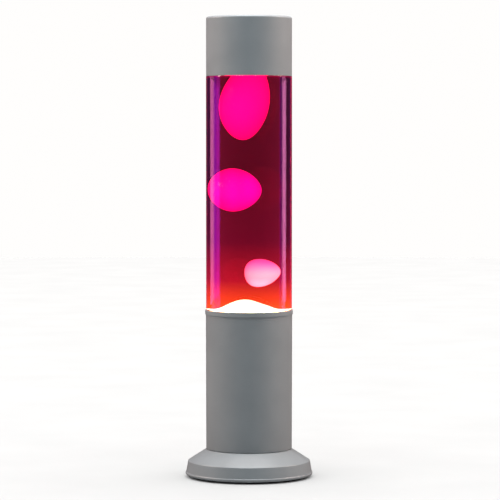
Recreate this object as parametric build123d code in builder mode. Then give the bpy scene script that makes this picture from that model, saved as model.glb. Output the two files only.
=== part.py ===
from build123d import *
import os
from math import cos, radians, sin, sqrt

os.makedirs("parts", exist_ok=True)

# A lava lamp. A straight bottle of coloured liquid and wax stands in a flared metal base, over a
# reflector bulb, and a cap covers its neck. All sizes are in millimetres.
# The origin is the centre of the footprint on the table. +Z is up, and the cord gland faces +Y.

# ---- Driving dimensions ----
foot_gap = 2.0  # from the table to the foot's rolled rim
foot_height = 25.5  # from the table to the foot's ledge, where the housing stands
housing_height = 127.9  # from the ledge to the top of the housing's lip
glass_height = 213.6  # from the lip to the cap's lower edge
cap_height = 54.0
tube_radius = 39.3  # outside of the bottle's straight part

# Foot
foot_sheet = 1.2
ledge_width = 15.3  # from the housing's lower edge in to the hole for the lampholder
cone_width = 16.6  # how far the cone spreads below the housing
cone_drop = 10.6
cone_edge_round = 1.0
rim_spread = 2.4  # how far the rim stands out past the cone's edge
bead_radius = 1.7
skirt_meet = 40.0  # the skirt meets the bead this many degrees down from its top
flange_width = 8.2

# Housing and seat ring
sheet = 1.0
housing_taper = 0.3  # radius lost from the top of the housing to its bottom
housing_flange_width = 8.3
lip_sheet = 0.55
lip_spread = 0.9  # the lip stands out this far past the bottle
lip_skirt = 4.0
seat_depth = 27.4  # from the top of the lip down to the gasket's shelf
shelf_width = 7.5
gasket_thickness = 1.5

# Bottle
glass_wall = 2.4
heel_gap = 0.6  # between the bottle's heel and the seat ring
heel_step = 2.4  # how far the heel is narrower than the tube
step_gap = 0.6  # between the bottle's step and the lip
heel_edge = 4.0
bearing_inset = 1.9  # from the heel's rounding in to the ring the bottle stands on
punt_height = 3.0
shoulder_step = 1.9
shoulder_rise = 21.5  # from the upper step to the top of the shoulder
shoulder_round = 17.0
neck_radius = 15.5
neck_height = 15.0
neck_fillet = 4.0
contents_gap = 0.1  # between the glass and what it holds
wax_gap = 0.3  # between the liquid and a loose lump
wall_slope = 5.0  # the bore changes width over this height, where the outside has a step

# Closure and cap
liner_thickness = 1.5
closure_sheet = 0.8
closure_gap = 0.7
closure_skirt = 6.8
flutes = 24
flute_radius = 0.5
cap_inset = 0.1  # the cap is narrower than the bottle by this
cap_edge = 2.0
cap_gap = 0.5  # between the cap's lower edge and the bottle's step
insert_wall = 1.5
insert_gap = 0.5

# Bulb and lampholder
bulb_length = 84.0
bulb_radius = 25.0
bulb_neck_radius = 9.5
bulb_glass = 0.8
thread_radius = 6.95
thread_pitch = 2.82
thread_turns = 5
bulb_seat_gap = 0.3
holder_height = 32.0
holder_radius = 12.5
sleeve_gap = 0.5
sleeve_wall = 0.85
bracket_sheet = 1.5
bracket_width = 16.0
bracket_lift = 8.5  # from the bottom plate up to the bracket's floor
bracket_gap = 1.2  # between the bracket's legs and the ledge's hole
nipple_radius = 5.0
nipple_bore = 3.5
nipple_length = 10.0

# Fasteners and small parts
rest_gap = 0.05  # between two pieces that lie against each other
screw_radius = 1.5
screw_head_radius = 2.8
screw_head_height = 2.0
screw_clearance = 0.1
screw_wall_gap = 1.2  # from a screw's head to the housing's wall
nut_flats = 5.5
nut_height = 2.4
plate_sheet = 1.2
plate_lift = 2.8  # from the table to the bottom plate
pad_radius = 6.0
pad_count = 4
vent_count = 12
vent_width = 3.0
block_width = 20.0
block_depth = 11.0
block_height = 11.5
block_screw_inset = 3.4
pole_spacing = 10.0
lead_radius = 0.9
gland_height = 12.5  # from the ledge to the gland's centre
gland_bore = 3.0
gland_neck = 5.0
gland_flange = 6.8
gland_outer_flange = 2.0
gland_inner_flange = 1.8

# ---- Levels and radii that follow ----
ledge_z = foot_height
lip_z = ledge_z + housing_height
cap_z = lip_z + glass_height
top_z = cap_z + cap_height
step_z = lip_z + step_gap
upper_step_z = cap_z - cap_gap
seat_z = lip_z - seat_depth
bottle_z = seat_z + gasket_thickness
shoulder_z = upper_step_z + shoulder_rise
neck_z = shoulder_z + neck_height
closure_z = neck_z + liner_thickness + closure_sheet
fill_z = neck_z - neck_height / 2

lip_radius = tube_radius + lip_spread
housing_top_radius = lip_radius - lip_sheet - rest_gap
housing_bottom_radius = housing_top_radius - housing_taper
ledge_hole_radius = housing_bottom_radius - ledge_width
cone_radius = housing_bottom_radius + cone_width
rim_radius = cone_radius + rim_spread
heel_radius = tube_radius - heel_step
shoulder_radius = tube_radius - shoulder_step
bearing_radius = heel_radius - heel_edge - bearing_inset
cap_radius = tube_radius - cap_inset
bore = glass_wall + contents_gap  # from the bottle's outside to its contents
bore_radius = tube_radius - bore
screw_circle = housing_bottom_radius - sheet - screw_head_radius - screw_wall_gap


def polar(radius, angle):
    """A point at radius and angle in degrees about the lamp's axis."""
    return (radius * cos(radians(angle)), radius * sin(radians(angle)))


# ---- Foot: ledge, cone, flared skirt and rolled rim ----
bead_centre = (rim_radius - bead_radius, foot_gap + bead_radius)
skirt_end = (
    bead_centre[0] + bead_radius * sin(radians(skirt_meet)),
    bead_centre[1] + bead_radius * cos(radians(skirt_meet)),
)
flange_z = plate_lift + plate_sheet

with BuildPart() as base_foot:
    with BuildSketch(Plane.XZ):
        with BuildLine():
            FilletPolyline(
                (ledge_hole_radius, ledge_z),
                (housing_bottom_radius, ledge_z),
                (cone_radius, ledge_z - cone_drop),
                skirt_end,
                radius=[0, cone_edge_round],
            )
            offset(amount=foot_sheet, side=Side.RIGHT)
        make_face()
        with Locations(bead_centre):
            Circle(bead_radius)
        with Locations((bead_centre[0], flange_z)):
            Rectangle(bead_radius + flange_width, foot_sheet, align=(Align.MAX, Align.MIN))
    revolve(axis=Axis.Z)
    with BuildSketch(Plane.XY.offset(ledge_z)):
        with PolarLocations(screw_circle, 6):
            Circle(screw_radius + screw_clearance)
        with Locations((0, ledge_hole_radius + block_screw_inset)):
            Circle(screw_radius + screw_clearance)
    extrude(amount=-foot_sheet, mode=Mode.SUBTRACT)
    with BuildSketch(Plane.XY.offset(flange_z)):
        with PolarLocations(bead_centre[0] - bead_radius - flange_width / 2, pad_count):
            Circle(screw_radius + screw_clearance / 2)
    extrude(amount=foot_sheet, mode=Mode.SUBTRACT)

# ---- Housing: tapered tube on an inward flange, with the gland's hole in its back ----
housing_top_z = lip_z - lip_sheet - rest_gap
gland_z = ledge_z + gland_height
gland_y = housing_bottom_radius + housing_taper * gland_height / housing_height
gland_plane = Plane((0, gland_y, gland_z), x_dir=(1, 0, 0), z_dir=(0, 1, 0))

with BuildPart() as base_housing:
    with BuildSketch(Plane.XZ):
        with BuildLine():
            FilletPolyline(
                (housing_bottom_radius - housing_flange_width, ledge_z),
                (housing_bottom_radius, ledge_z),
                (housing_top_radius, housing_top_z),
                radius=sheet * 1.2,
            )
            offset(amount=sheet, side=Side.LEFT)
        make_face()
    revolve(axis=Axis.Z)
    with BuildSketch(Plane.XY.offset(ledge_z)):
        with PolarLocations(screw_circle, 6):
            Circle(screw_radius + screw_clearance)
    extrude(amount=sheet, mode=Mode.SUBTRACT)
    with BuildSketch(gland_plane):
        Circle(gland_neck + screw_clearance)
    extrude(amount=tube_radius / 2, both=True, mode=Mode.SUBTRACT)

# ---- Cord gland: a grommet whose flanges hold the housing's wall between them ----
wall_sag = gland_flange**2 / (2 * gland_y)
gland_inner = sheet + wall_sag + 3 * rest_gap

with BuildPart() as cord_gland:
    with BuildSketch(gland_plane.offset(rest_gap)):
        Circle(gland_flange)
    extrude(amount=gland_outer_flange)
    with BuildSketch(gland_plane.offset(-gland_inner)):
        Circle(gland_flange)
    extrude(amount=-gland_inner_flange)
    fillet(cord_gland.edges().filter_by(GeomType.CIRCLE), 0.4)
    with BuildSketch(gland_plane.offset(-gland_inner)):
        Circle(gland_neck)
    extrude(amount=gland_inner + rest_gap)
    with BuildSketch(gland_plane):
        Circle(gland_bore)
    extrude(amount=tube_radius / 4, both=True, mode=Mode.SUBTRACT)

# ---- Seat ring: hooked over the housing's mouth, with a shelf for the bottle's heel ----
sleeve_radius = heel_radius + heel_gap

with BuildPart() as globe_seat_ring:
    with BuildSketch(Plane.XZ):
        with BuildLine():
            FilletPolyline(
                (lip_radius, lip_z - lip_skirt),
                (lip_radius, lip_z),
                (sleeve_radius, lip_z),
                (sleeve_radius, seat_z),
                (sleeve_radius - shelf_width, seat_z),
                radius=lip_sheet * 1.1,
            )
            offset(amount=lip_sheet, side=Side.LEFT)
        make_face()
    revolve(axis=Axis.Z)

with BuildPart() as seat_gasket:
    with BuildSketch(Plane.XY.offset(seat_z)):
        Circle(sleeve_radius - lip_sheet)
        Circle(sleeve_radius - shelf_width + 0.5, mode=Mode.SUBTRACT)
    extrude(amount=gasket_thickness)

# ---- Bottom plate, its screws and the rubber feet ----
plate_gap = 0.4
plate_radius = bead_centre[0] - bead_radius - plate_gap
plate_screw_circle = bead_centre[0] - bead_radius - flange_width / 2
pad_circle = plate_screw_circle - pad_radius + 0.5
vent_length = plate_radius * 0.36

with BuildPart() as bottom_plate:
    with BuildSketch(Plane.XY.offset(plate_lift)):
        Circle(plate_radius)
        with PolarLocations(plate_screw_circle, pad_count):
            Circle(screw_radius + screw_clearance, mode=Mode.SUBTRACT)
        with PolarLocations(plate_radius / 2, vent_count):
            SlotOverall(vent_length, vent_width, mode=Mode.SUBTRACT)
    extrude(amount=plate_sheet)

with BuildPart() as rubber_feet:
    for index in range(pad_count):
        with Locations(polar(pad_circle, 45 + index * 360 / pad_count)):
            Cone(pad_radius - 0.5, pad_radius, plate_lift, align=(Align.CENTER, Align.CENTER, Align.MIN))


def pan_screw(spot, seat, length, head_way=1):
    """A pan-head screw. Its head stands on height seat, up (1) or down (-1), and its shank runs back."""
    with BuildPart() as screw:
        with BuildSketch(Plane.XY.offset(seat)):
            with Locations(spot):
                Circle(screw_head_radius)
        extrude(amount=head_way * screw_head_height)
        fillet(screw.faces().sort_by(Axis.Z)[-1 if head_way > 0 else 0].edges(), screw_head_height * 0.4)
        with BuildSketch(Plane.XY.offset(seat)):
            with Locations(spot):
                Circle(screw_radius)
        extrude(amount=-head_way * length)
    return screw.part


with BuildPart() as bottom_screws:
    for index in range(pad_count):
        add(pan_screw(polar(plate_screw_circle, index * 360 / pad_count), plate_lift, 6.0, -1))

# ---- Screws and nuts through the ledge: two also hold the bracket, four only the housing ----
flange_top_z = ledge_z + sheet
wing_top_z = flange_top_z + bracket_sheet
nut_z = ledge_z - foot_sheet
nut_overrun = 1.5
shank_end_z = nut_z - nut_height - nut_overrun

with BuildPart() as bracket_screws:
    for angle in (0, 180):
        add(pan_screw(polar(screw_circle, angle), wing_top_z, wing_top_z - shank_end_z))

with BuildPart() as housing_screws:
    for angle in (60, 120, 240, 300):
        add(pan_screw(polar(screw_circle, angle), flange_top_z, flange_top_z - shank_end_z))

with BuildPart() as housing_nuts:
    with BuildSketch(Plane.XY.offset(nut_z)):
        with PolarLocations(screw_circle, 6):
            RegularPolygon(nut_flats / 2, 6, major_radius=False)
            Circle(screw_radius + screw_clearance / 2, mode=Mode.SUBTRACT)
    extrude(amount=-nut_height)

# ---- Lampholder bracket: a strap that dips through the ledge's hole ----
strap_z = plate_lift + plate_sheet + bracket_lift
leg_x = sqrt(ledge_hole_radius**2 - (bracket_width / 2) ** 2) - bracket_gap
wing_x = screw_circle + screw_head_radius - 0.4
holder_z = strap_z + bracket_sheet

with BuildPart() as lampholder_bracket:
    with BuildSketch(Plane.XZ):
        with BuildLine():
            FilletPolyline(
                (-wing_x, flange_top_z),
                (-leg_x, flange_top_z),
                (-leg_x, strap_z),
                (leg_x, strap_z),
                (leg_x, flange_top_z),
                (wing_x, flange_top_z),
                radius=bracket_sheet * 1.2,
            )
            offset(amount=bracket_sheet, side=Side.LEFT)
        make_face()
    extrude(amount=bracket_width / 2, both=True)
    with BuildSketch(Plane.XY.offset(wing_top_z)):
        with PolarLocations(screw_circle, 2):
            Circle(screw_radius + screw_clearance)
    extrude(amount=-bracket_sheet, mode=Mode.SUBTRACT)
    with BuildSketch(Plane.XY.offset(holder_z)):
        Circle(nipple_radius + screw_clearance)
    extrude(amount=-bracket_sheet, mode=Mode.SUBTRACT)

# ---- Lampholder: body, threaded sleeve, centre contact, hollow nipple and nut ----
holder_floor = 5.0
sleeve_bore = thread_radius + sleeve_gap
sleeve_outer = sleeve_bore + sleeve_wall
spring_sheet = 0.5
spring_rise = 2.2
bulb_z = holder_z + holder_floor + spring_sheet + spring_rise + bulb_seat_gap

with BuildPart() as lampholder_body:
    with BuildSketch(Plane.XY.offset(holder_z)):
        Circle(holder_radius)
        Circle(nipple_radius + screw_clearance / 2, mode=Mode.SUBTRACT)
    extrude(amount=holder_height)
    with BuildSketch(Plane.XY.offset(holder_z + holder_floor)):
        Circle(sleeve_outer + 0.1)
    extrude(amount=holder_height, mode=Mode.SUBTRACT)
    chamfer(lampholder_body.edges().filter_by(GeomType.CIRCLE).sort_by(SortBy.RADIUS)[-2:], 0.8)

with BuildPart() as lampholder_sleeve:
    with BuildSketch(Plane.XY.offset(holder_z + holder_floor + spring_rise + 2.0)):
        Circle(sleeve_outer)
        Circle(sleeve_bore, mode=Mode.SUBTRACT)
    extrude(amount=thread_pitch * (thread_turns + 1))

with BuildPart() as lampholder_contact:
    spring_x = sleeve_outer - 0.6
    with BuildSketch(Plane.XZ.offset(-2)):
        with BuildLine():
            Polyline(
                (-spring_x, holder_z + holder_floor),
                (-nipple_radius, holder_z + holder_floor),
                (-1.5, holder_z + holder_floor + spring_rise),
                (1.5, holder_z + holder_floor + spring_rise),
            )
            offset(amount=spring_sheet, side=Side.LEFT)
        make_face()
    extrude(amount=4)

with BuildPart() as lampholder_nipple:
    with BuildSketch(Plane.XY.offset(holder_z + holder_floor - 1)):
        Circle(nipple_radius)
        Circle(nipple_bore, mode=Mode.SUBTRACT)
    extrude(amount=-nipple_length)

with BuildPart() as lampholder_nut:
    with BuildSketch(Plane.XY.offset(strap_z)):
        RegularPolygon(nipple_radius + 2, 6, major_radius=False)
        Circle(nipple_radius + screw_clearance / 2, mode=Mode.SUBTRACT)
    extrude(amount=-3)

# ---- Terminal block under the ledge, its screws, and the two leads to the lampholder ----
block_y = ledge_hole_radius + 0.5 + block_depth / 2
block_base_z = nut_z - block_height
lead_z = nut_z - block_height * 0.6
pole_screw_depth = 3.0

with BuildPart() as terminal_block:
    with Locations((0, block_y, block_base_z)):
        Box(block_width, block_depth, block_height, align=(Align.CENTER, Align.CENTER, Align.MIN))
    fillet(terminal_block.edges().filter_by(Axis.Z), 1.0)
    with BuildSketch(Plane.XY.offset(block_base_z)):
        with Locations((0, block_y)):
            with GridLocations(pole_spacing, block_depth / 2, 2, 2):
                Circle(screw_radius + screw_clearance)
    extrude(amount=pole_screw_depth, mode=Mode.SUBTRACT)
    with BuildSketch(Plane.XY.offset(nut_z)):
        with Locations((0, ledge_hole_radius + block_screw_inset)):
            Circle(screw_radius + screw_clearance / 2)
    extrude(amount=-8, mode=Mode.SUBTRACT)

with BuildPart() as terminal_screws:
    with BuildSketch(Plane.XY.offset(block_base_z + pole_screw_depth)):
        with Locations((0, block_y)):
            with GridLocations(pole_spacing, block_depth / 2, 2, 2):
                Circle(screw_radius)
    extrude(amount=-pole_screw_depth + 0.5)

with BuildPart() as block_screw:
    add(pan_screw((0, ledge_hole_radius + block_screw_inset), ledge_z, 8.0))


def lead(side):
    """An internal lead from the block's pole on that side (-1 or 1), up through the nipple."""
    start = Vector(side * pole_spacing / 2, block_y - block_depth / 2, lead_z)
    low_z = strap_z - 7.0
    rise_x = side * nipple_bore * 0.4
    with BuildPart() as wire:
        with BuildLine():
            path = FilletPolyline(
                start,
                start - (0, 6.5, 0),
                (start.X, start.Y - 9.0, low_z + 1.0),
                (rise_x, 0, low_z),
                (rise_x, 0, holder_z + holder_floor - 0.2),
                radius=[3.0, 3.0, 4.0],
            )
        with BuildSketch(Plane(start, z_dir=path % 0)):
            Circle(lead_radius)
        sweep(path=path)
    return wire.part


lead_live = lead(-1)
lead_neutral = lead(1)

# ---- Bulb: tip contact, insulator, screw shell, envelope, stem and filament ----
tip_height = 1.4
insulator_height = 2.6
shell_z = bulb_z + tip_height + insulator_height
collar_z = shell_z + thread_turns * thread_pitch
collar_height = 4.0
thread_root = thread_radius - 0.8
shell_wall = 0.6
neck_in_shell = thread_root - 0.1
bulb_top_z = bulb_z + bulb_length
dome_height = bulb_length * 0.21
stem_top_z = collar_z + 18.0

with BuildPart() as bulb_contact:
    with BuildSketch(Plane.XY.offset(bulb_z)):
        Circle(2.4)
    extrude(amount=tip_height)
    fillet(bulb_contact.faces().sort_by(Axis.Z)[0].edges(), 0.9)

with BuildPart() as bulb_insulator:
    with Locations((0, 0, bulb_z + tip_height)):
        Cone(3.0, thread_root - 0.3, insulator_height, align=(Align.CENTER, Align.CENTER, Align.MIN))

with BuildPart() as bulb_screw_base:
    with BuildSketch(Plane.XZ):
        with BuildLine():
            for turn in range(thread_turns):
                low = shell_z + turn * thread_pitch
                ThreePointArc(
                    (thread_root, low),
                    (thread_radius, low + thread_pitch / 2),
                    (thread_root, low + thread_pitch),
                )
            Polyline(
                (thread_root, collar_z),
                (thread_radius, collar_z),
                (thread_radius, collar_z + collar_height),
                (thread_root, collar_z + collar_height),
                (thread_root, collar_z + shell_wall),
                (thread_root - shell_wall, collar_z),
                (thread_root - shell_wall, shell_z),
                (thread_root, shell_z),
            )
        make_face()
    revolve(axis=Axis.Z)


def envelope_outline(inset):
    """Half of the bulb's glass: neck, reflector and domed front, drawn in from the outside by inset."""
    neck = neck_in_shell - inset
    waist_x = bulb_neck_radius - inset
    front = bulb_radius - inset
    foot_z = collar_z + shell_wall + 0.2
    dome_z = bulb_top_z - dome_height
    Line((neck, foot_z), (neck, collar_z + collar_height))
    Spline(
        (neck, collar_z + collar_height),
        (waist_x, collar_z + collar_height + 8.0),
        (front, dome_z),
        tangents=((0, 1), (0, 1)),
    )
    Spline(
        (front, dome_z),
        (front * sqrt(0.5), dome_z + (dome_height - inset) * sqrt(0.5)),
        (0, bulb_top_z - inset),
        tangents=((0, 1), (-1, 0)),
    )
    Polyline((0, bulb_top_z - inset), (0, foot_z), (neck, foot_z))


with BuildPart() as bulb_envelope:
    with BuildSketch(Plane.XZ):
        with BuildLine():
            envelope_outline(0)
        make_face()
        with BuildLine():
            envelope_outline(bulb_glass)
        make_face(mode=Mode.SUBTRACT)
    revolve(axis=Axis.Z)

with BuildPart() as bulb_stem:
    with BuildSketch(Plane.XZ):
        Polygon(
            (0, collar_z + 1.0),
            (neck_in_shell - bulb_glass - 0.1, collar_z + 1.0),
            (2.4, collar_z + 7.0),
            (2.0, stem_top_z),
            (0, stem_top_z),
            align=None,
        )
    revolve(axis=Axis.Z)

with BuildPart() as bulb_filament:
    with BuildLine():
        filament_path = FilletPolyline(
            (-1.4, 0, stem_top_z),
            (-8, 0, stem_top_z + 13),
            (8, 0, stem_top_z + 13),
            (1.4, 0, stem_top_z),
            radius=2.5,
        )
    with BuildSketch(Plane((-1.4, 0, stem_top_z), z_dir=filament_path % 0)):
        Circle(0.4)
    sweep(path=filament_path)
    split(bisect_by=Plane.XY.offset(stem_top_z + 0.3), keep=Keep.TOP)


# ---- Bottle: narrow heel, straight tube, stepped shoulder and neck ----
def bottle_side(start, inset, slope, top):
    """The bottle's side from the points in start up to height top, drawn in by inset.

    Each step of the outside is square (slope 0). In the bore it is spread over the height slope.
    """
    heel = heel_radius - inset
    tube = tube_radius - inset
    upper = shoulder_radius - inset
    soft = 1.5 if slope else 0.5
    corners = [
        (heel, step_z + inset),
        (tube, step_z + inset + slope),
        (tube, upper_step_z - inset - slope),
        (upper, upper_step_z - inset),
        (upper, shoulder_z - inset),
        (neck_radius - inset, shoulder_z - inset),
    ]
    rounds = [soft, 1.5, 1.2, soft, shoulder_round - inset, neck_fillet + inset]
    first = [heel_edge - inset] if len(start) > 1 else []
    FilletPolyline(*start, *corners, (neck_radius - inset, top), radius=first + rounds)


def bottle_base(inset):
    """The bottle's underside from the axis out to its bearing ring, raised by inset."""
    rise = bottle_z + inset
    ThreePointArc(
        (0, rise + punt_height),
        (bearing_radius / 2, rise + punt_height * 0.75),
        (bearing_radius, rise),
    )


with BuildPart() as globe_glass:
    with BuildSketch(Plane.XZ):
        with BuildLine():
            bottle_base(0)
            bottle_side([(bearing_radius, bottle_z), (heel_radius, bottle_z)], 0, 0, neck_z)
            Polyline((neck_radius, neck_z), (0, neck_z), (0, bottle_z + punt_height))
        make_face()
        with BuildLine():
            bottle_base(glass_wall)
            inner_z = bottle_z + glass_wall
            bottle_side(
                [(bearing_radius, inner_z), (heel_radius - glass_wall, inner_z)],
                glass_wall,
                wall_slope,
                neck_z,
            )
            Polyline((neck_radius - glass_wall, neck_z), (0, neck_z), (0, inner_z + punt_height))
        make_face(mode=Mode.SUBTRACT)
    revolve(axis=Axis.Z)

# ---- Wax: the pool with its mound, and three loose lumps, all as shares of the liquid's column ----
column_height = shoulder_z - glass_wall - step_z
pool_edge_z = step_z + 1.2
mound_height = 9.9
mound_waist = 2.0
pool_radius = heel_radius - bore
coil_wire = 0.8
coil_turns = 3
coil_radius = pool_radius * 0.8
coil_z = bottle_z + glass_wall + 3.5
coil_height = 2.2 * coil_turns
coil_slack = 0.4  # the coil's pocket in the wax is wider and taller than the coil by this

# Each lump: height of its widest ring, height below it, height above it, radius and offset along X
# (heights as shares of the column, the others of the bore), and its lean to +X in degrees.
wax_lumps = {
    "wax_blob_upper": (0.812, 0.145, 0.155, 0.476, -0.065, 4.0),
    "wax_blob_middle": (0.481, 0.098, 0.080, 0.522, -0.283, -4.0),
    "wax_blob_lower": (0.146, 0.060, 0.053, 0.337, 0.266, 8.0),
}


def wax_egg(widest, low, high, radius, offset_x, lean, gap):
    """A lump of wax: an egg turned about its own leaning axis, grown outward by gap."""
    turn = radians(lean)
    plane = Plane(
        (offset_x * bore_radius, 0, step_z + widest * column_height),
        x_dir=(cos(turn), 0, -sin(turn)),
        z_dir=(0, -1, 0),
    )
    wide = radius * bore_radius + gap
    above = high * column_height + gap
    below = low * column_height + gap
    with BuildPart() as egg:
        with BuildSketch(plane):
            with BuildLine():
                Spline(
                    (0, -below),
                    (wide * sqrt(0.5), -below * sqrt(0.5)),
                    (wide, 0),
                    (wide * sqrt(0.5), above * sqrt(0.5)),
                    (0, above),
                    tangents=((1, 0), (-1, 0)),
                )
                Line((0, above), (0, -below))
            make_face()
        revolve(axis=Axis(plane.origin, plane.y_dir))
    return egg.part


def pool_surface(lift):
    """The pool's surface from the glass in to the top of its mound, raised by lift."""
    Spline(
        (pool_radius, pool_edge_z + lift),
        (pool_radius * 0.64, step_z + mound_waist + lift),
        (0, step_z + mound_height + lift),
        tangents=((-1, 0), (-1, 0)),
    )


with BuildPart() as wax_pool:
    with BuildSketch(Plane.XZ):
        with BuildLine():
            base_z = bottle_z + bore
            bottle_base(bore)
            FilletPolyline(
                (bearing_radius, base_z),
                (pool_radius, base_z),
                (pool_radius, pool_edge_z),
                radius=heel_edge - bore,
            )
            pool_surface(0)
            Line((0, step_z + mound_height), (0, base_z + punt_height))
        make_face()
        with Locations((coil_radius, coil_z + coil_height / 2)):
            Rectangle(
                2 * coil_wire + coil_slack,
                coil_height + 2 * coil_wire + coil_slack,
                mode=Mode.SUBTRACT,
            )
    revolve(axis=Axis.Z)

with BuildPart() as heating_coil:
    with BuildLine(Plane.XY.offset(coil_z)):
        turns = Helix(coil_height / coil_turns, coil_height, coil_radius)
    with BuildSketch(Plane(turns @ 0, z_dir=turns % 0)):
        Circle(coil_wire)
    sweep(path=turns, is_frenet=True)

with BuildPart() as liquid:
    with BuildSketch(Plane.XZ):
        with BuildLine():
            pool_surface(contents_gap)
            bottle_side([(pool_radius, pool_edge_z + contents_gap)], bore, wall_slope, fill_z)
            Polyline(
                (neck_radius - bore, fill_z),
                (0, fill_z),
                (0, step_z + mound_height + contents_gap),
            )
        make_face()
    revolve(axis=Axis.Z)
    for shape in wax_lumps.values():
        add(wax_egg(*shape, gap=wax_gap), mode=Mode.SUBTRACT)

# ---- Closure: a fluted metal crown over a liner ----
closure_bore = neck_radius + closure_gap
closure_radius = closure_bore + closure_sheet

with BuildPart() as closure_liner:
    with BuildSketch(Plane.XY.offset(neck_z)):
        Circle(closure_bore - 0.1)
    extrude(amount=liner_thickness)

with BuildPart() as bottle_closure:
    with BuildSketch(Plane.XY.offset(closure_z)):
        Circle(closure_radius)
        with PolarLocations(closure_radius, flutes):
            Circle(flute_radius)
    extrude(amount=-closure_sheet - liner_thickness - closure_skirt)
    with BuildSketch(Plane.XY.offset(closure_z - closure_sheet)):
        Circle(closure_bore)
    extrude(amount=-liner_thickness - closure_skirt, mode=Mode.SUBTRACT)

# ---- Cap: a straight cup, and the insert that sits over the closure ----
cap_inner_z = top_z - sheet
insert_bore = closure_radius + flute_radius + insert_gap
insert_plate = 2.0
insert_radius = cap_radius - sheet - 1.2
rib_count = 6

with BuildPart() as top_cap:
    with BuildSketch(Plane.XZ):
        with BuildLine():
            FilletPolyline((cap_radius, cap_z), (cap_radius, top_z), (0, top_z), radius=cap_edge)
            offset(amount=sheet, side=Side.LEFT)
        make_face()
    revolve(axis=Axis.Z)

with BuildPart() as top_cap_insert:
    with BuildSketch(Plane.XY.offset(cap_inner_z)):
        Circle(insert_radius)
    extrude(amount=-insert_plate)
    with BuildSketch(Plane.XY.offset(cap_inner_z - insert_plate)):
        Circle(insert_bore + insert_wall)
        with PolarLocations((insert_bore + insert_radius) / 2, rib_count):
            Rectangle(insert_radius - insert_bore, 1.2)
    extrude(amount=-(cap_inner_z - insert_plate - closure_z))
    with BuildSketch(Plane.XY.offset(closure_z)):
        Circle(insert_bore + insert_wall)
        Circle(insert_bore, mode=Mode.SUBTRACT)
    extrude(amount=-(closure_z - shoulder_z - 3.0))
    with BuildSketch(Plane.XY.offset(closure_z + insert_wall)):
        Circle(insert_bore)
    extrude(amount=cap_inner_z - insert_plate - closure_z - insert_wall, mode=Mode.SUBTRACT)

# ---- Names and files ----
pieces = {
    "base_foot": base_foot.part,
    "base_housing": base_housing.part,
    "cord_gland": cord_gland.part,
    "globe_seat_ring": globe_seat_ring.part,
    "seat_gasket": seat_gasket.part,
    "bottom_plate": bottom_plate.part,
    "bottom_screws": bottom_screws.part,
    "rubber_feet": rubber_feet.part,
    "bracket_screws": bracket_screws.part,
    "housing_screws": housing_screws.part,
    "housing_nuts": housing_nuts.part,
    "lampholder_bracket": lampholder_bracket.part,
    "lampholder_body": lampholder_body.part,
    "lampholder_sleeve": lampholder_sleeve.part,
    "lampholder_contact": lampholder_contact.part,
    "lampholder_nipple": lampholder_nipple.part,
    "lampholder_nut": lampholder_nut.part,
    "terminal_block": terminal_block.part,
    "terminal_screws": terminal_screws.part,
    "block_screw": block_screw.part,
    "lead_live": lead_live,
    "lead_neutral": lead_neutral,
    "bulb_contact": bulb_contact.part,
    "bulb_insulator": bulb_insulator.part,
    "bulb_screw_base": bulb_screw_base.part,
    "bulb_envelope": bulb_envelope.part,
    "bulb_stem": bulb_stem.part,
    "bulb_filament": bulb_filament.part,
    "globe_glass": globe_glass.part,
    "liquid": liquid.part,
    "wax_pool": wax_pool.part,
    "heating_coil": heating_coil.part,
    "closure_liner": closure_liner.part,
    "bottle_closure": bottle_closure.part,
    "top_cap": top_cap.part,
    "top_cap_insert": top_cap_insert.part,
}
for name, shape in wax_lumps.items():
    pieces[name] = wax_egg(*shape, gap=0)

for name, piece in pieces.items():
    piece.label = name
    export_step(piece, f"parts/{name}.step")
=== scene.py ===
import math

import bmesh
import bpy
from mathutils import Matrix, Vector, noise


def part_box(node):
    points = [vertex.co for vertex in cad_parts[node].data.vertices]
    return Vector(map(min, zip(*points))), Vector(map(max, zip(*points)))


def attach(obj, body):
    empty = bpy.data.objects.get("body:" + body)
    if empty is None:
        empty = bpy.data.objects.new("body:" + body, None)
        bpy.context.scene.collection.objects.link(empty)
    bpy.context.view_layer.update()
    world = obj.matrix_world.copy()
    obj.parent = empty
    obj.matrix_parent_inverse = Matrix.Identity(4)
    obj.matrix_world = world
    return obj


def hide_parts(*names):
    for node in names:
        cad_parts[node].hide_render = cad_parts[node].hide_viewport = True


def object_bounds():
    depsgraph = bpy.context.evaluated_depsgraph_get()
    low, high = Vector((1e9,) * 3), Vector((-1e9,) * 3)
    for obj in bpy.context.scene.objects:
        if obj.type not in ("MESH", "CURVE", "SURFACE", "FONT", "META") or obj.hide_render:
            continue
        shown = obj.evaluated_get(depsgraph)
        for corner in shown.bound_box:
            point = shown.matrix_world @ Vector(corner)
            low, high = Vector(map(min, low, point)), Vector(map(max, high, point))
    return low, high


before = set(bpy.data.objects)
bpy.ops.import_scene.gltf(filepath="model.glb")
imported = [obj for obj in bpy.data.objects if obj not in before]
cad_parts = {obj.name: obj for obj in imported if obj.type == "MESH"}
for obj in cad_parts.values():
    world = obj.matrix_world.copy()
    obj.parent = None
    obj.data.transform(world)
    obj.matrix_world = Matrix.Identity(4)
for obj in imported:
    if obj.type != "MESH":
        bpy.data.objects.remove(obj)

# The looks of the lava lamp, in metres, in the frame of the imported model.
cad_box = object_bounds()
MM = 0.001


# ---- Camera: almost level with the upper half of the bottle, looking slightly down ----
CAMERA_DISTANCE = 2.25
CAMERA_HEIGHT = 0.315
CAMERA_PITCH = math.radians(2.72)
CAMERA_SIDE = 0.9 * MM
LENS = 177.1
SENSOR = 36.0


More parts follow.
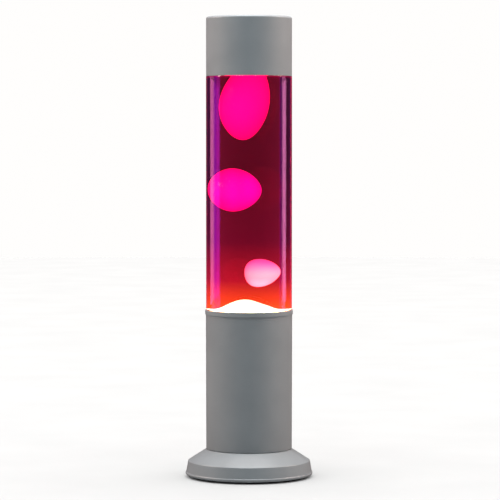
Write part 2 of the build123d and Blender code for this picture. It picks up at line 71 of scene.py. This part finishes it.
def make_camera():
    """The camera in front of the lamp, on the -Y side."""
    data = bpy.data.cameras.new("camera")
    data.lens = LENS
    data.sensor_width = SENSOR
    camera = bpy.data.objects.new("camera", data)
    bpy.context.collection.objects.link(camera)
    camera.location = (CAMERA_SIDE, -CAMERA_DISTANCE, CAMERA_HEIGHT)
    camera.rotation_euler = (math.pi / 2 - CAMERA_PITCH, 0, 0)
    bpy.context.scene.camera = camera


make_camera()


# ---- Mesh helpers ----
NEARLY_STRAIGHT = math.radians(89.5)  # half the angle at a corner that needs no rounding
MERGE_DISTANCE = 1e-7
ON_AXIS = 1e-6


def rounded(points, radii, steps=8):
    """The path through points with each inner corner rounded to its radius (0 keeps it sharp)."""
    path = [Vector(points[0])]
    for before, corner, after, radius in zip(points, points[1:], points[2:], radii):
        corner = Vector(corner)
        to_before = (Vector(before) - corner).normalized()
        to_after = (Vector(after) - corner).normalized()
        half = to_before.angle(to_after) / 2
        if radius <= 0 or half > NEARLY_STRAIGHT:
            path.append(corner)
            continue
        reach = radius / math.tan(half)
        centre = corner + (to_before + to_after).normalized() * (radius / math.sin(half))
        start = corner + to_before * reach - centre
        end = corner + to_after * reach - centre
        for step in range(steps + 1):
            share = step / steps
            arm = (start * (1 - share) + end * share).normalized() * radius
            path.append(centre + arm)
    path.append(Vector(points[-1]))
    return path


def finish_mesh(name, mesh_data, body, material, sharp=40.0):
    """Turns bmesh data into a smooth-shaded object that rides on a body."""
    bmesh.ops.remove_doubles(mesh_data, verts=mesh_data.verts, dist=MERGE_DISTANCE)
    bmesh.ops.recalc_face_normals(mesh_data, faces=mesh_data.faces)
    mesh = bpy.data.meshes.new(name)
    mesh_data.to_mesh(mesh)
    mesh_data.free()
    for face in mesh.polygons:
        face.use_smooth = True
    mesh.set_sharp_from_angle(angle=math.radians(sharp))
    mesh.materials.append(material)
    piece = bpy.data.objects.new(name, mesh)
    bpy.context.collection.objects.link(piece)
    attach(piece, body)
    return piece


def lathe_data(profile, segments=192):
    """A surface of revolution about Z from (radius, height) points, as bmesh data."""
    data = bmesh.new()
    rings = []
    for radius, height in profile:
        if radius < ON_AXIS:
            rings.append([data.verts.new((0, 0, height))])
            continue
        ring = []
        for index in range(segments):
            turn = 2 * math.pi * index / segments
            ring.append(data.verts.new((radius * math.cos(turn), radius * math.sin(turn), height)))
        rings.append(ring)
    for low, high in zip(rings, rings[1:]):
        for index in range(segments):
            following = (index + 1) % segments
            corners = [low[index % len(low)], low[following % len(low)]]
            corners += [high[following % len(high)], high[index % len(high)]]
            unique = list(dict.fromkeys(corners))
            if len(unique) > 2:
                data.faces.new(unique)
    return data


# ---- Material helpers ----
def new_material(name, colour, roughness=0.5, metallic=0.0):
    """A Principled material, with its node tree and its shader."""
    material = bpy.data.materials.new(name)
    material.use_nodes = True
    tree = material.node_tree
    shader = tree.nodes["Principled BSDF"]
    shader.inputs["Base Color"].default_value = (*colour, 1)
    shader.inputs["Roughness"].default_value = roughness
    shader.inputs["Metallic"].default_value = metallic
    return material, tree, shader


def object_noise(tree, scale, detail=3.0, stretch=(1, 1, 1)):
    """Noise in the object's own coordinates, stretched along its axes."""
    place = tree.nodes.new("ShaderNodeTexCoord")
    mapping = tree.nodes.new("ShaderNodeMapping")
    mapping.inputs["Scale"].default_value = stretch
    texture = tree.nodes.new("ShaderNodeTexNoise")
    texture.inputs["Scale"].default_value = scale
    texture.inputs["Detail"].default_value = detail
    tree.links.new(place.outputs["Object"], mapping.inputs["Vector"])
    tree.links.new(mapping.outputs["Vector"], texture.inputs["Vector"])
    return texture.outputs["Fac"]


def ramp(tree, source, stops, smooth=False):
    """A colour ramp over source, from a list of (position, colour)."""
    node = tree.nodes.new("ShaderNodeValToRGB")
    node.color_ramp.interpolation = "EASE" if smooth else "LINEAR"
    elements = node.color_ramp.elements
    while len(elements) < len(stops):
        elements.new(0.5)
    for element, (position, colour) in zip(elements, stops):
        element.position = position
        element.color = (*colour, 1)
    tree.links.new(source, node.inputs["Fac"])
    return node.outputs["Color"]


def map_range(tree, source, low, high, to_low=0.0, to_high=1.0):
    """source, remapped from low..high to to_low..to_high."""
    node = tree.nodes.new("ShaderNodeMapRange")
    node.inputs["From Min"].default_value = low
    node.inputs["From Max"].default_value = high
    node.inputs["To Min"].default_value = to_low
    node.inputs["To Max"].default_value = to_high
    tree.links.new(source, node.inputs["Value"])
    return node.outputs["Result"]


def add_bump(tree, shader, source, strength, distance):
    """A bump from source, distance deep in metres."""
    node = tree.nodes.new("ShaderNodeBump")
    node.inputs["Strength"].default_value = strength
    node.inputs["Distance"].default_value = distance
    tree.links.new(source, node.inputs["Height"])
    tree.links.new(node.outputs["Normal"], shader.inputs["Normal"])


def axis_share(tree, low, high, axis="Z"):
    """0 at low and 1 at high along an axis of the object's own coordinates."""
    place = tree.nodes.new("ShaderNodeTexCoord")
    split = tree.nodes.new("ShaderNodeSeparateXYZ")
    tree.links.new(place.outputs["Object"], split.inputs["Vector"])
    return map_range(tree, split.outputs[axis], low, high)


def shade(value, colour):
    """colour made lighter or darker."""
    return tuple(channel * value for channel in colour)


# ---- Materials ----
def mottle(tree, shader, source, dark, light):
    """Base colour that runs from dark to light with source."""
    tree.links.new(ramp(tree, source, [(0.3, dark), (0.7, light)]), shader.inputs["Base Color"])


def uneven_gloss(tree, shader, source, low, high):
    """Roughness that runs from low to high with source."""
    tree.links.new(map_range(tree, source, 0.3, 0.7, low, high), shader.inputs["Roughness"])


def paint(name, colour, roughness=0.5, grain=1400.0):
    """Satin powder coat: an even colour, faint cloudiness and a fine orange-peel skin."""
    material, tree, shader = new_material(name, colour, roughness)
    cloud = object_noise(tree, 38.0, 4.0)
    mottle(tree, shader, cloud, shade(0.95, colour), shade(1.04, colour))
    uneven_gloss(tree, shader, cloud, roughness - 0.04, roughness + 0.05)
    add_bump(tree, shader, object_noise(tree, grain, 2.0), 0.16, 0.06 * MM)
    return material


def brushed(name, colour, roughness=0.3, stretch=(1, 1, 30)):
    """Brushed metal with fine scratches along the short axis of stretch."""
    material, tree, shader = new_material(name, colour, roughness, 1.0)
    scratch = object_noise(tree, 220.0, 6.0, stretch)
    tone = ramp(tree, scratch, [(0.25, shade(0.8, colour)), (0.75, colour)])
    tree.links.new(tone, shader.inputs["Base Color"])
    spread = map_range(tree, scratch, 0.2, 0.8, roughness - 0.08, roughness + 0.14)
    tree.links.new(spread, shader.inputs["Roughness"])
    add_bump(tree, shader, scratch, 0.25, 0.03 * MM)
    return material


def moulded(name, colour, roughness=0.45):
    """Moulded plastic or rubber with a fine matt grain and slightly uneven gloss."""
    material, tree, shader = new_material(name, colour, roughness)
    patch = object_noise(tree, 60.0, 4.0)
    mottle(tree, shader, patch, shade(0.88, colour), shade(1.06, colour))
    uneven_gloss(tree, shader, patch, roughness - 0.06, roughness + 0.08)
    add_bump(tree, shader, object_noise(tree, 2200.0, 3.0), 0.3, 0.05 * MM)
    return material


def clear_glass(name, tint, ior=1.5, roughness=0.0):
    """Clear glass with the faint long waves of a drawn tube."""
    material, tree, shader = new_material(name, tint, roughness)
    shader.inputs["Transmission Weight"].default_value = 1.0
    shader.inputs["IOR"].default_value = ior
    wave = object_noise(tree, 16.0, 1.0, (1, 1, 0.25))
    add_bump(tree, shader, wave, 0.12, 0.35 * MM)
    return material


# Painted glow, standing in for the little of the bulb's light that the liquid scatters far above the bulb.
FAR_PAINTED_GLOW = (0.012, 0.0, 0.004)  # the little that the liquid glows far above the bulb


def tinted_liquid(low, high, rim):
    """Magenta liquid, from low up to high, that takes green first, then blue.

    It has a painted glow for the bulb's light: red where that light comes in below, fading upward, and a
    thin painted bright line at rim, a share of its height.
    """
    material, tree, shader = new_material("tinted_liquid", (1, 1, 1), 0.0)
    shader.inputs["Transmission Weight"].default_value = 1.0
    shader.inputs["IOR"].default_value = 1.35
    absorb = tree.nodes.new("ShaderNodeVolumeAbsorption")
    absorb.inputs["Color"].default_value = (0.72, 0.2, 0.42, 1)
    absorb.inputs["Density"].default_value = 110.0
    tree.links.new(absorb.outputs["Volume"], tree.nodes["Material Output"].inputs["Volume"])
    # Painted glow of the bulb's light, by height: bright red at the bottom, fading upward, with a thin
    # painted bright line at the upper step.
    glow = ramp(
        tree,
        axis_share(tree, low, high),
        [
            (0.0, (1.0, 0.12, 0.012)),
            (0.044, (0.85, 0.05, 0.004)),
            (0.115, (0.36, 0.004, 0.012)),
            (0.26, (0.065, 0.0, 0.008)),
            (0.53, (0.018, 0.0, 0.004)),
            (rim - 0.006, FAR_PAINTED_GLOW),
            (rim, (0.30, 0.0, 0.04)),
            (rim + 0.01, FAR_PAINTED_GLOW),
        ],
    )
    tree.links.new(glow, shader.inputs["Emission Color"])
    shader.inputs["Emission Strength"].default_value = 1.0
    return material


WAX_RED = (0.45, 0.02, 0.08)


def wax_with_painted_glow(name, low, high, stops, strength, axis="Z"):
    """Molten wax with a painted glow that stands in for the bulb's light through it: the glow's colour runs
    through stops from low to high, with soft mottling.
    """
    material, tree, shader = new_material(name, WAX_RED, 0.35)
    share = axis_share(tree, low, high, axis)
    swirl = map_range(tree, object_noise(tree, 45.0, 3.0), 0.3, 0.7, -0.06, 0.06)
    total = tree.nodes.new("ShaderNodeMath")
    tree.links.new(share, total.inputs[0])
    tree.links.new(swirl, total.inputs[1])
    tree.links.new(ramp(tree, total.outputs["Value"], stops, True), shader.inputs["Emission Color"])
    shader.inputs["Emission Strength"].default_value = strength
    return material


GREY = (0.235, 0.255, 0.27)
body_paint = paint("grey_paint", GREY)
foot_paint = paint("grey_paint_foot", GREY, 0.4)
black_paint = paint("black_paint", (0.018, 0.018, 0.02), 0.55)
steel = brushed("zinc_steel", (0.55, 0.56, 0.58))
brass = brushed("brass", (0.72, 0.49, 0.2))
nickel = brushed("nickel", (0.72, 0.7, 0.66), 0.22, (1, 1, 0.1))
tinplate = brushed("tinplate", (0.78, 0.72, 0.55), 0.28)
solder = brushed("solder", (0.5, 0.5, 0.52), 0.4)
rubber = moulded("black_rubber", (0.016, 0.016, 0.017), 0.62)
silicone = moulded("grey_silicone", (0.09, 0.09, 0.095), 0.55)
phenolic = moulded("black_phenolic", (0.02, 0.017, 0.015), 0.28)
white_plastic = moulded("white_plastic", (0.72, 0.71, 0.67), 0.38)
liner_foam = moulded("liner_foam", (0.78, 0.76, 0.7), 0.7)
brown_sheath = moulded("brown_sheath", (0.14, 0.05, 0.02), 0.4)
blue_sheath = moulded("blue_sheath", (0.02, 0.08, 0.35), 0.4)
black_glass = moulded("black_glass", (0.02, 0.015, 0.03), 0.12)
bottle_glass = clear_glass("bottle_glass", (1.0, 1.0, 1.0))


SILVER_TOP, FROST_START = 0.60, 0.64  # shares of the envelope's height


def frosted_bulb(low, high):
    """A reflector bulb: silvered round its waist, and a frosted front that the light comes out of."""
    material, tree, shader = new_material("bulb_frosting", (0.95, 0.9, 0.82), 0.45)
    share = axis_share(tree, low, high)
    front = ramp(tree, share, [(SILVER_TOP, (0, 0, 0)), (FROST_START, (1, 1, 1))])
    silver = ramp(tree, share, [(SILVER_TOP, (1, 1, 1)), (FROST_START, (0, 0, 0))])
    tree.links.new(silver, shader.inputs["Metallic"])
    tree.links.new(front, shader.inputs["Emission Color"])
    shader.inputs["Emission Strength"].default_value = 2.5
    add_bump(tree, shader, object_noise(tree, 900.0, 3.0), 0.2, 0.05 * MM)
    return material


def lit_filament():
    """A tungsten wire, white hot."""
    material, tree, shader = new_material("lit_filament", (0.4, 0.35, 0.3), 0.5, 1.0)
    hot = ramp(tree, object_noise(tree, 300.0), [(0.3, (1, 0.5, 0.15)), (0.7, (1, 0.7, 0.35))])
    tree.links.new(hot, shader.inputs["Emission Color"])
    shader.inputs["Emission Strength"].default_value = 20.0
    return material


bulb_low, bulb_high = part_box("bulb_envelope")
finishes = {
    body_paint: ["base_housing", "top_cap", "globe_seat_ring"],
    foot_paint: ["base_foot"],
    black_paint: ["bottom_plate"],
    steel: ["bottom_screws", "bracket_screws", "housing_screws", "housing_nuts", "block_screw",
            "lampholder_nipple", "lampholder_bracket", "heating_coil"],
    brass: ["lampholder_sleeve", "lampholder_contact", "lampholder_nut", "terminal_screws"],
    nickel: ["bulb_screw_base"],
    tinplate: ["bottle_closure"],
    solder: ["bulb_contact"],
    rubber: ["rubber_feet", "cord_gland"],
    silicone: ["seat_gasket"],
    phenolic: ["lampholder_body"],
    white_plastic: ["terminal_block", "top_cap_insert"],
    liner_foam: ["closure_liner"],
    brown_sheath: ["lead_live"],
    blue_sheath: ["lead_neutral"],
    black_glass: ["bulb_insulator"],
    frosted_bulb(bulb_low[2], bulb_high[2]): ["bulb_envelope", "bulb_stem"],
    lit_filament(): ["bulb_filament"],
}
for finish, names in finishes.items():
    for name in names:
        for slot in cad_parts[name].material_slots:
            slot.material = finish

# ---- Bottle: one smooth lathed shell of clear glass ----
glass_low, glass_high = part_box("globe_glass")
cap_low, cap_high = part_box("top_cap")
ring_low, ring_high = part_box("globe_seat_ring")
TUBE = glass_high[0]
WALL = 2.4 * MM
HEEL = TUBE - 2.4 * MM  # the heel sits in the seat ring
UPPER = TUBE - 1.9 * MM  # the part above the upper step sits in the cap
NECK = 15.5 * MM
STEP_Z = ring_high[2] + 0.6 * MM
UPPER_STEP_Z = cap_low[2] - 0.5 * MM
SHOULDER_Z = UPPER_STEP_Z + 21.5 * MM
BASE_Z = glass_low[2]
NECK_Z = glass_high[2]
PUNT = 3.0 * MM
BORE_SLOPE = 1.8 * MM
BORE_LEAD = 0.3 * MM
SHOULDER_ROUND = 17 * MM
NECK_ROUND = 4 * MM
PUNT_ROUNDS = (8 * MM, 4 * MM)
HEEL_ROUND = 4 * MM
STEP_ROUND = 0.5 * MM


def bottle_side(inset, top):
    """The bottle's profile from the middle of its underside up to height top, drawn in by inset.

    The outside (inset 0) has square steps. The bore's steps slope, just outside the straight tube.
    """
    heel, tube = HEEL - inset, TUBE - inset
    upper, neck = UPPER - inset, NECK - inset
    base = BASE_Z + inset
    slope, lead = (BORE_SLOPE, BORE_LEAD) if inset else (0, 0)
    points = [
        (0, base + PUNT), (heel * 0.5, base + PUNT * 0.75), (heel * 0.82, base), (heel, base),
        (heel, STEP_Z + lead - slope), (tube, STEP_Z + lead),
        (tube, UPPER_STEP_Z + BORE_LEAD), (upper, UPPER_STEP_Z + BORE_LEAD + slope),
        (upper, SHOULDER_Z - inset), (neck, SHOULDER_Z - inset), (neck, top),
    ]
    radii = [*PUNT_ROUNDS, HEEL_ROUND - inset, *[STEP_ROUND] * 4, SHOULDER_ROUND - inset, NECK_ROUND + inset]
    return rounded(points, radii)


def make_bottle():
    """The bottle's glass: its outside up to the lip of the neck, then back down the bore."""
    outside = bottle_side(0, NECK_Z)
    bore = bottle_side(WALL, NECK_Z)
    profile = outside + bore[::-1]
    piece = finish_mesh("bottle", lathe_data(profile), "globe", bottle_glass)
    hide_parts("globe_glass")
    return piece


bottle = make_bottle()

# ---- Liquid: fills the bore and laps into the glass, so no air shows between them ----
liquid_low, liquid_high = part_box("liquid")
LAP = 0.05 * MM


def make_liquid():
    """The body of liquid, closed at its level in the neck."""
    side = bottle_side(WALL - LAP, liquid_high[2])
    profile = side + [Vector((0, liquid_high[2]))]
    top = liquid_high[2]
    material = tinted_liquid(STEP_Z, top, (UPPER_STEP_Z - STEP_Z) / (top - STEP_Z))
    piece = finish_mesh("tinted_liquid", lathe_data(profile), "globe", material)
    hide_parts("liquid")
    return piece


tinted = make_liquid()


# ---- Wax pool: a broad bell that runs out flat to the glass ----
pool_low, pool_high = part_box("wax_pool")
POOL_RADIUS = pool_high[0] - 0.3 * MM
POOL_FLOOR = pool_low[2] + 0.2 * MM
POOL_EDGE = STEP_Z - 0.1 * MM
POOL_PEAK = pool_high[2] - 0.1 * MM
MOUND_REACH = 0.78  # the mound's radius, as a share of the pool's
MOUND_SHIFT = -3.0 * MM
RIPPLE_DEPTH = 1.2 * MM
SHORE = 0.05 * MM  # only what rises above the pool's edge by this much is reshaped
TOP_STEPS = 32


def make_pool():
    """The pool with its mound, a little off the axis and softly uneven."""
    top = []
    for step in range(1, TOP_STEPS + 1):
        outer = 1 - step / TOP_STEPS
        bell = 0.5 + 0.5 * math.cos(math.pi * min(1.0, outer / MOUND_REACH))
        top.append(Vector((POOL_RADIUS * outer, POOL_EDGE + (POOL_PEAK - POOL_EDGE) * bell)))
    corners = [(0, POOL_FLOOR + PUNT), (POOL_RADIUS * 0.8, POOL_FLOOR), (POOL_RADIUS, POOL_FLOOR),
               (POOL_RADIUS, POOL_EDGE)]
    bottom = rounded(corners, [6 * MM, 2 * MM])
    data = lathe_data(bottom + top, segments=128)
    for vertex in data.verts:
        radius = math.hypot(vertex.co.x, vertex.co.y)
        if vertex.co.z > POOL_EDGE + SHORE:
            inner = 1 - radius / POOL_RADIUS
            vertex.co.x += MOUND_SHIFT * inner
            ripple = noise.noise(Vector((vertex.co.x * 60, vertex.co.y * 60, 3.1)))
            vertex.co.z -= abs(ripple) * RIPPLE_DEPTH * min(1.0, inner * 4)
    shore = (POOL_EDGE - pool_low[2]) / (pool_high[2] - pool_low[2])
    # Painted glow for the bulb's light through the pool: dim red from its underside to just below its edge,
    # then bright and near white over the mound.
    material = wax_with_painted_glow(
        "wax_pool_painted_glow", pool_low[2], pool_high[2],
        [(0.0, (0.026, 0.003, 0.003)), (shore - 0.22, (0.04, 0.006, 0.005)),
         (shore - 0.05, (0.3, 0.2, 0.1)), (shore, (0.5, 0.6, 0.26)), (1.0, (0.5, 1.0, 0.28))],
        34.0)
    piece = finish_mesh("wax_pool_mound", data, "globe", material)
    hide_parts("wax_pool")


make_pool()


# ---- Loose wax: soft egg shapes, each in the space of its CAD egg ----
DENT = 0.02  # how far the noise pushes a lump's surface in or out, as a share of its size


def make_lump(node, body, material, toward, ends, trim, seed, lean=0.0, bend=0.0):
    """A lump of wax with its length toward a direction, in the box of its CAD egg less trim.

    trim is in mm, off the -X, +X, -Z and +Z faces. ends is (length, slimness) for the far end and then
    for the near end: a slimness of 0 is round, and more draws the end in. lean and bend shift the lump
    sideways (X) as it rises.
    """
    low, high = (Vector(corner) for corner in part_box(node))
    low += Vector((trim[0], 0, trim[2])) * MM
    high -= Vector((trim[1], 0, trim[3])) * MM
    toward = Vector(toward).normalized()
    data = bmesh.new()
    bmesh.ops.create_icosphere(data, subdivisions=6, radius=1.0)
    for vertex in data.verts:
        direction = vertex.co.normalized()
        along = direction.dot(toward)
        length, slimness = ends[0] if along > 0 else ends[1]
        side = (direction - toward * along) * (1 - slimness * along * along)
        position = toward * (along * length) + side
        position.x += lean * position.z + bend * position.z**2
        dent = noise.noise(direction * 0.9 + Vector((seed, seed * 0.7, 1.3)))
        vertex.co = position * (1 + DENT * dent)
    for axis in range(3):
        least = min(vertex.co[axis] for vertex in data.verts)
        most = max(vertex.co[axis] for vertex in data.verts)
        for vertex in data.verts:
            share = (vertex.co[axis] - least) / (most - least)
            vertex.co[axis] = low[axis] + share * (high[axis] - low[axis])
    piece = finish_mesh(node + "_lump", data, body, material)
    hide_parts(node)


def span(node, axis):
    """The lowest and highest coordinates of a CAD node along an axis (0 to 2)."""
    low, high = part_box(node)
    return low[axis], high[axis]


# Each lump's emission is painted glow for the bulb's light through the wax.
upper_wax = wax_with_painted_glow(
    "wax_upper_painted_glow", *span("wax_blob_upper", 2),
    [(0.0, (1.0, 0.0, 0.25)), (1.0, (1.0, 0.0, 0.21))], 5.0)
# The middle lump's painted glow turns from red-pink at -X to bluer pink at +X.
middle_wax = wax_with_painted_glow(
    "wax_middle_painted_glow", *span("wax_blob_middle", 0),
    [(0.0, (1.0, 0.0, 0.14)), (0.5, (1.0, 0.0, 0.28)), (1.0, (1.0, 0.0, 0.50))], 5.0, "X")
# The lower lump, nearest the bulb, gets a brighter painted glow: near white at its bottom and pink at its
# top.
lower_wax = wax_with_painted_glow(
    "wax_lower_painted_glow", *span("wax_blob_lower", 2),
    [(0.0, (0.6, 0.62, 0.42)), (0.4, (0.6, 0.32, 0.24)), (1.0, (0.6, 0.09, 0.21))], 14.0)
make_lump("wax_blob_upper", "wax_upper", upper_wax, (0, 0, 1),
          [(2.0, 0.1), (1.85, 0.09)], (0, 1.1, 0, 0), 2.0, 0.085, 0.03)
make_lump("wax_blob_middle", "wax_middle", middle_wax, (1, 0, -0.02),
          [(1.28, 0.13), (1.17, 0.1)], (0.7, 0.7, 1.1, 1.3), 5.0)
make_lump("wax_blob_lower", "wax_lower", lower_wax, (1, 0, 0.08),
          [(1.5, 0.22), (0.95, -0.16)], (-0.2, 0.3, 1.3, 0), 8.0)


# ---- Stage: a pale floor, soft light from above, tinted strips beside the glass, dark cards ----
def stage_piece(name, data, material):
    """A piece of the stage from bmesh data."""
    mesh = bpy.data.meshes.new(name)
    data.to_mesh(mesh)
    data.free()
    for face in mesh.polygons:
        face.use_smooth = True
    mesh.materials.append(material)
    piece = bpy.data.objects.new(name, mesh)
    bpy.context.collection.objects.link(piece)
    return piece


def make_floor(radius, material):
    """A round floor that carries the lamp."""
    data = bmesh.new()
    bmesh.ops.create_circle(data, cap_ends=True, segments=128, radius=radius)
    bmesh.ops.translate(data, verts=data.verts, vec=(0, 0, cad_box[0][2]))
    floor = stage_piece("floor", data, material)
    floor.visible_glossy = False
    return floor


def round_the_lamp(azimuth, distance, height):
    """A point at distance from the axis, azimuth degrees round from the front (+X is positive)."""
    turn = math.radians(azimuth)
    return Vector((math.sin(turn) * distance, -math.cos(turn) * distance, height))


def make_card(name, azimuth, distance, width, height, material):
    """An upright card that faces the lamp, seen only through and in the glass."""
    turn = math.radians(azimuth)
    centre = round_the_lamp(azimuth, distance, height / 2)
    across = Vector((math.cos(turn), math.sin(turn), 0)) * (width / 2)
    up = Vector((0, 0, height / 2))
    data = bmesh.new()
    corners = [centre - across - up, centre + across - up, centre + across + up, centre - across + up]
    data.faces.new([data.verts.new(corner) for corner in corners])
    card = stage_piece(name, data, material)
    card.visible_camera = card.visible_shadow = card.visible_diffuse = False


def make_light(name, size, radiance, location, target, colour=(1, 1, 1), lights=None):
    """A soft rectangular light that faces target, with a given radiance.

    lights is the collection that it shines on, or None for everything.
    """
    data = bpy.data.lights.new(name, "AREA")
    data.shape = "RECTANGLE"
    data.size, data.size_y = size
    data.energy = radiance * math.pi * size[0] * size[1]
    data.color = colour
    light = bpy.data.objects.new(name, data)
    light.location = location
    light.rotation_euler = (Vector(target) - Vector(location)).to_track_quat("-Z", "Y").to_euler()
    light.visible_camera = False
    bpy.context.collection.objects.link(light)
    if lights:
        light.light_linking.receiver_collection = lights


def receivers(name, *pieces):
    """A collection of pieces for lights to shine on."""
    collection = bpy.data.collections.new(name)
    for piece in pieces:
        collection.objects.link(piece)
    return collection


glass_only = receivers("glass_only", bottle, tinted)
STRIP_MIDDLE = 0.24
STRIP_HEIGHT = 0.36


def make_strip(name, azimuth, spread, radiance, colour):
    """An upright light a metre from the lamp, spread degrees wide, azimuth degrees round from the front.

    It only shines on the glass and the liquid, so the paint keeps its own grey.
    """
    size = (2 * math.tan(math.radians(spread / 2)), STRIP_HEIGHT)
    place = round_the_lamp(azimuth, 1.0, STRIP_MIDDLE)
    make_light(name, size, radiance, place, (0, 0, STRIP_MIDDLE), colour, glass_only)


def pale_floor():
    """A matt pale board with a faint cloudiness, left dark in what the inside of the glass mirrors."""
    material, tree, shader = new_material("pale_floor", (0.6, 0.595, 0.59), 0.6)
    shader.inputs["Specular IOR Level"].default_value = 0.0
    patches = object_noise(tree, 9.0, 3.0)
    cloud = ramp(tree, patches, [(0.3, (0.585, 0.58, 0.575)), (0.7, (0.61, 0.605, 0.60))])
    mirrored = tree.nodes.new("ShaderNodeLightPath").outputs["Glossy Depth"]
    dim = tree.nodes.new("ShaderNodeMix")
    dim.data_type = "RGBA"
    tree.links.new(map_range(tree, mirrored, 0.0, 1.0), dim.inputs["Factor"])
    tree.links.new(cloud, dim.inputs["A"])
    dim.inputs["B"].default_value = (0.01, 0.01, 0.01, 1)
    tree.links.new(dim.outputs["Result"], shader.inputs["Base Color"])
    return material


DARK_VIOLET = (0.06, 0.01, 0.09)
CARD_DISTANCE, CARD_WIDTH, CARD_HEIGHT = 1.0, 0.5, 0.7
card_paint = new_material("dark_card", DARK_VIOLET, 0.9)[0]
floor = make_floor(4.0, pale_floor())
for name, azimuth in (("left_card", -141), ("right_card", 139)):
    make_card(name, azimuth, CARD_DISTANCE, CARD_WIDTH, CARD_HEIGHT, card_paint)

floor_only = receivers("floor_only", floor)
all_but_floor = receivers("all_but_floor", floor)
all_but_floor.collection_objects[0].light_linking.link_state = "EXCLUDE"

make_strip("left_strip", -118.0, 17, 3.2, (1.0, 0.20, 0.60))
make_strip("right_strip", 109.0, 16, 3.9, (1.0, 0.26, 0.66))
make_strip("left_violet", -98.0, 24, 2.1, (0.85, 0.02, 1.0))
make_strip("right_violet", 95.0, 8, 0.6, (0.7, 0.02, 1.0))
LAMP_MIDDLE = (0, 0, 0.2)
COOL_KEY = (0.4, 0.85, 1.0)
COOL_TOP = (0.93, 0.98, 1.0)
WARM_SIDE = (1.0, 0.77, 0.66)
WHITE = (1, 1, 1)
for name, size, radiance, place, target, colour, lights in (
        ("key", (1.0, 0.8), 0.5, (-0.2, -1.1, 1.4), LAMP_MIDDLE, COOL_KEY, None),
        ("overhead", (0.9, 0.9), 17.0, (0.0, -0.1, 1.6), LAMP_MIDDLE, COOL_TOP, all_but_floor),
        ("left_fill", (0.6, 0.6), 21.0, (-1.35, 0.2, 1.2), LAMP_MIDDLE, WARM_SIDE, all_but_floor),
        ("right_fill", (0.6, 0.6), 24.0, (1.35, 0.2, 1.2), LAMP_MIDDLE, WARM_SIDE, all_but_floor),
        ("ceiling", (20.0, 20.0), 1.8, (0, 0, 3.2), (0, 0, 0), WHITE, floor_only)):
    make_light(name, size, radiance, place, target, colour, lights)


def make_world():
    """A pale surround, bright only where it is seen directly or straight through the glass."""
    world = bpy.data.worlds.new("studio")
    world.use_nodes = True
    tree = world.node_tree
    background = tree.nodes["Background"]
    background.inputs["Color"].default_value = (1.0, 0.99, 0.98, 1)
    path = tree.nodes.new("ShaderNodeLightPath")
    seen = tree.nodes.new("ShaderNodeMath")
    tree.links.new(path.outputs["Is Camera Ray"], seen.inputs[0])
    tree.links.new(path.outputs["Is Transmission Ray"], seen.inputs[1])
    unbounced = tree.nodes.new("ShaderNodeMath")
    unbounced.operation = "SUBTRACT"
    tree.links.new(seen.outputs["Value"], unbounced.inputs[0])
    tree.links.new(path.outputs["Glossy Depth"], unbounced.inputs[1])
    level = map_range(tree, unbounced.outputs["Value"], 0.0, 1.0, 0.02, 1.0)
    tree.links.new(level, background.inputs["Strength"])
    bpy.context.scene.world = world


make_world()
bpy.context.scene.view_settings.view_transform = "Standard"
